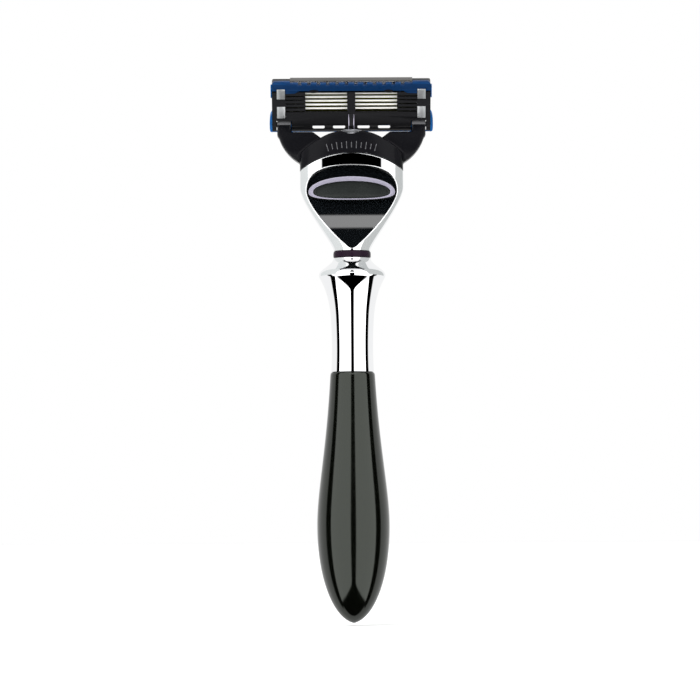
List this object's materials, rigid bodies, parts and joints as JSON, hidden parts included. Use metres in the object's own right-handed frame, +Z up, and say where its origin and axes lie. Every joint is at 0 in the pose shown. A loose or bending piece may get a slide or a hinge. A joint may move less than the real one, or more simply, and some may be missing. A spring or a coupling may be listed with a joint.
{
  "type": "cartridge razor",
  "caption": "Upright razor: multi-blade pivoting cartridge on a snap-off yoke, flat chrome head with release button, turned collar and long rounded grip.",
  "frame": {"origin": "on the handle's axis at the middle of the neck washer, where a stand's fork holds the razor", "axes": "+Z up the handle to the cartridge, +X across the cartridge, +Y the way the blades face"},
  "size_m": [0.0426, 0.0186, 0.141],
  "materials": {
    "housing_black": "moulded black plastic, fine satin",
    "guard_blue": "soft blue elastomer",
    "lubricating_strip": "waxy pale green strip",
    "clip_metal": "satin bent sheet",
    "carrier_blue": "navy blue moulded plastic",
    "blade_steel": "ground stainless",
    "support_steel": "bright bent stainless sheet",
    "yoke_black": "gloss black moulding",
    "plunger_grey": "silver grey moulding",
    "spring_steel": "drawn wire",
    "chrome": "mirror polished plating",
    "inlay_black": "piano black",
    "button_black": "piano black with a worn grey lip",
    "ejector_grey": "grey moulding",
    "core_black": "glass filled black plastic",
    "stud_steel": "plated steel",
    "washer_dark": "dark plum black",
    "grip_black": "polished black resin",
    "insert_brass": "turned brass"
  },
  "bodies": {
    "handle": {"head_shell": "chrome", "back_inlay": "inlay_black", "dock_core": "core_black", "threaded_stud": "stud_steel", "neck_washer": "washer_dark", "ferrule": "chrome", "grip": "grip_black", "grip_insert": "insert_brass", "plunger_spring": "spring_steel", "button_springs": "spring_steel"},
    "yoke": {"yoke": "yoke_black"},
    "cartridge": {"cartridge_housing": "housing_black", "guard_strip": "guard_blue", "lubricating_strip": "lubricating_strip", "clip_left": "clip_metal", "clip_right": "clip_metal", "trimmer_carrier": "carrier_blue", "trimmer_blade": "blade_steel"},
    "plunger": {"plunger": "plunger_grey"},
    "button": {"release_button": "button_black", "ejector": "ejector_grey"},
    "blade_1": {"blade_1": "blade_steel", "blade_support_1": "support_steel"},
    "blade_2": {"blade_2": "blade_steel", "blade_support_2": "support_steel"},
    "blade_3": {"blade_3": "blade_steel", "blade_support_3": "support_steel"},
    "blade_4": {"blade_4": "blade_steel", "blade_support_4": "support_steel"},
    "blade_5": {"blade_5": "blade_steel", "blade_support_5": "support_steel"}
  },
  "joints": [
    {"name": "cartridge_release", "type": "slide", "parent": "handle", "child": "yoke", "axis": [0, 0, 1], "range_m": [0, 0.012]},
    {"name": "cartridge_pivot", "type": "hinge", "parent": "yoke", "child": "cartridge", "pos_m": [0, 0.005, 0.0345], "axis": [1, 0, 0], "range_deg": [0, 45], "stiffness_Nm_per_rad": 0.02, "springref_deg": -8.59},
    {"name": "plunger_slide", "type": "slide", "parent": "handle", "child": "plunger", "axis": [0, 0, -1], "range_m": [0, 0.002], "deforming": ["plunger_spring"]},
    {"name": "button_slide", "type": "slide", "parent": "handle", "child": "button", "axis": [0, 0, 1], "range_m": [0, 0.002], "stiffness_N_per_m": 600, "springref_m": -0.0008, "deforming": ["button_springs"]},
    {"name": "blade_1_float", "type": "slide", "parent": "cartridge", "child": "blade_1", "axis": [0, -0.8746, -0.4848], "range_m": [0, 0.00025], "stiffness_N_per_m": 400, "springref_m": -0.0001},
    {"name": "blade_2_float", "type": "slide", "parent": "cartridge", "child": "blade_2", "axis": [0, -0.8746, -0.4848], "range_m": [0, 0.00025], "stiffness_N_per_m": 400, "springref_m": -0.0001},
    {"name": "blade_3_float", "type": "slide", "parent": "cartridge", "child": "blade_3", "axis": [0, -0.8746, -0.4848], "range_m": [0, 0.00025], "stiffness_N_per_m": 400, "springref_m": -0.0001},
    {"name": "blade_4_float", "type": "slide", "parent": "cartridge", "child": "blade_4", "axis": [0, -0.8746, -0.4848], "range_m": [0, 0.00025], "stiffness_N_per_m": 400, "springref_m": -0.0001},
    {"name": "blade_5_float", "type": "slide", "parent": "cartridge", "child": "blade_5", "axis": [0, -0.8746, -0.4848], "range_m": [0, 0.00025], "stiffness_N_per_m": 400, "springref_m": -0.0001}
  ],
  "couplings": [
    {"joint": "plunger_slide", "follows": "cartridge_pivot", "m_per_rad": 0.0025}
  ]
}
